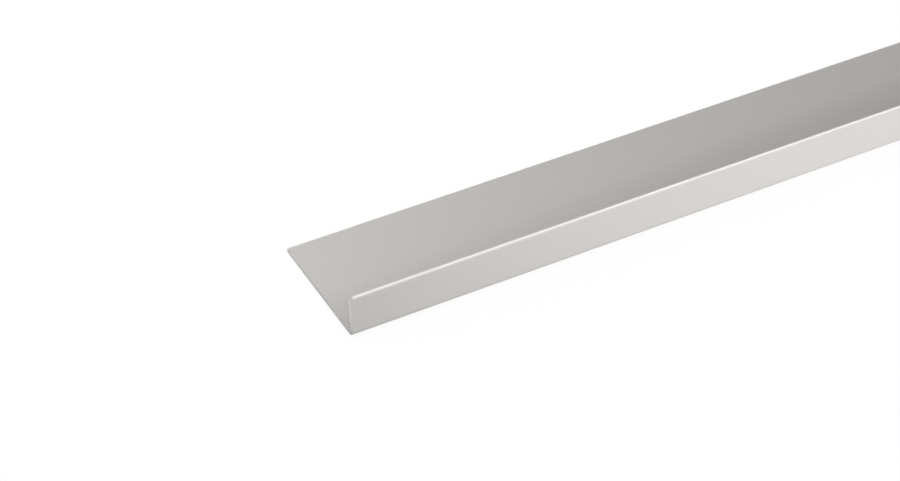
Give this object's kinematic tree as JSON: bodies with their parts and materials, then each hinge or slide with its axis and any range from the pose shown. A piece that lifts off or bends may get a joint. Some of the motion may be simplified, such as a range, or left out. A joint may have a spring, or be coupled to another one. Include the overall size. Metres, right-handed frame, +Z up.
{
  "type": "unequal angle profile",
  "caption": "Long thin aluminium angle with a wide flat leg and a short upright leg, used to edge, trim or stop a panel.",
  "frame": {"origin": "on the underside, at the middle of the length and of the overall width", "axes": "+X along the length, +Y across the wide leg from the short leg to the free edge, +Z up along the short leg"},
  "size_m": [1, 0.03, 0.01],
  "materials": {
    "anodised_aluminium": "satin silver anodised, with bare sawn ends"
  },
  "bodies": {
    "root": {"angle_profile": "anodised_aluminium"}
  },
  "joints": []
}
